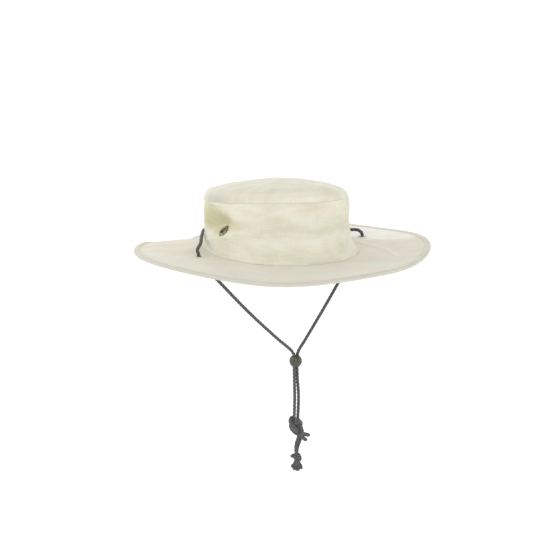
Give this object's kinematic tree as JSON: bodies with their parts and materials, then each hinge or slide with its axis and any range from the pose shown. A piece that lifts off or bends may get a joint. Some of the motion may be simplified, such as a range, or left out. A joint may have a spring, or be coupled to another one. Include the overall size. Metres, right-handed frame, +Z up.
{
  "type": "sun hat",
  "caption": "Wide-brimmed cotton sun hat with a low round crown, a bound brim, brass vent eyelets and a braided chin cord with a sliding bead and a frayed end.",
  "frame": {"origin": "middle of the head opening, at the seam between crown and brim", "axes": "+Z up through the crown, -Y the front of the hat, +X the wearer's left"},
  "size_m": [0.3291, 0.3596, 0.3662],
  "materials": {
    "cotton": "off-white cotton canvas, matte",
    "tape": "woven cotton tape, matte",
    "thread": "cream thread, close stitches",
    "brass": "dark aged brass, satin",
    "braid": "dark grey braided cord, matte",
    "bead": "dark olive-grey bead, dull"
  },
  "bodies": {
    "root": {"crown_side": "cotton", "crown_tip": "cotton", "brim": "cotton", "brim_binding": "tape", "vent_eyelet_1": "brass", "vent_eyelet_2": "brass", "vent_eyelet_3": "brass", "vent_eyelet_4": "brass", "cord_eyelet_right": "thread", "cord_eyelet_left": "thread", "chin_cord": "braid", "tail_cord_1": "braid", "tail_cord_2": "braid", "cord_bead": "bead", "cord_knot": "braid", "tail_knot": "braid"}
  },
  "joints": []
}
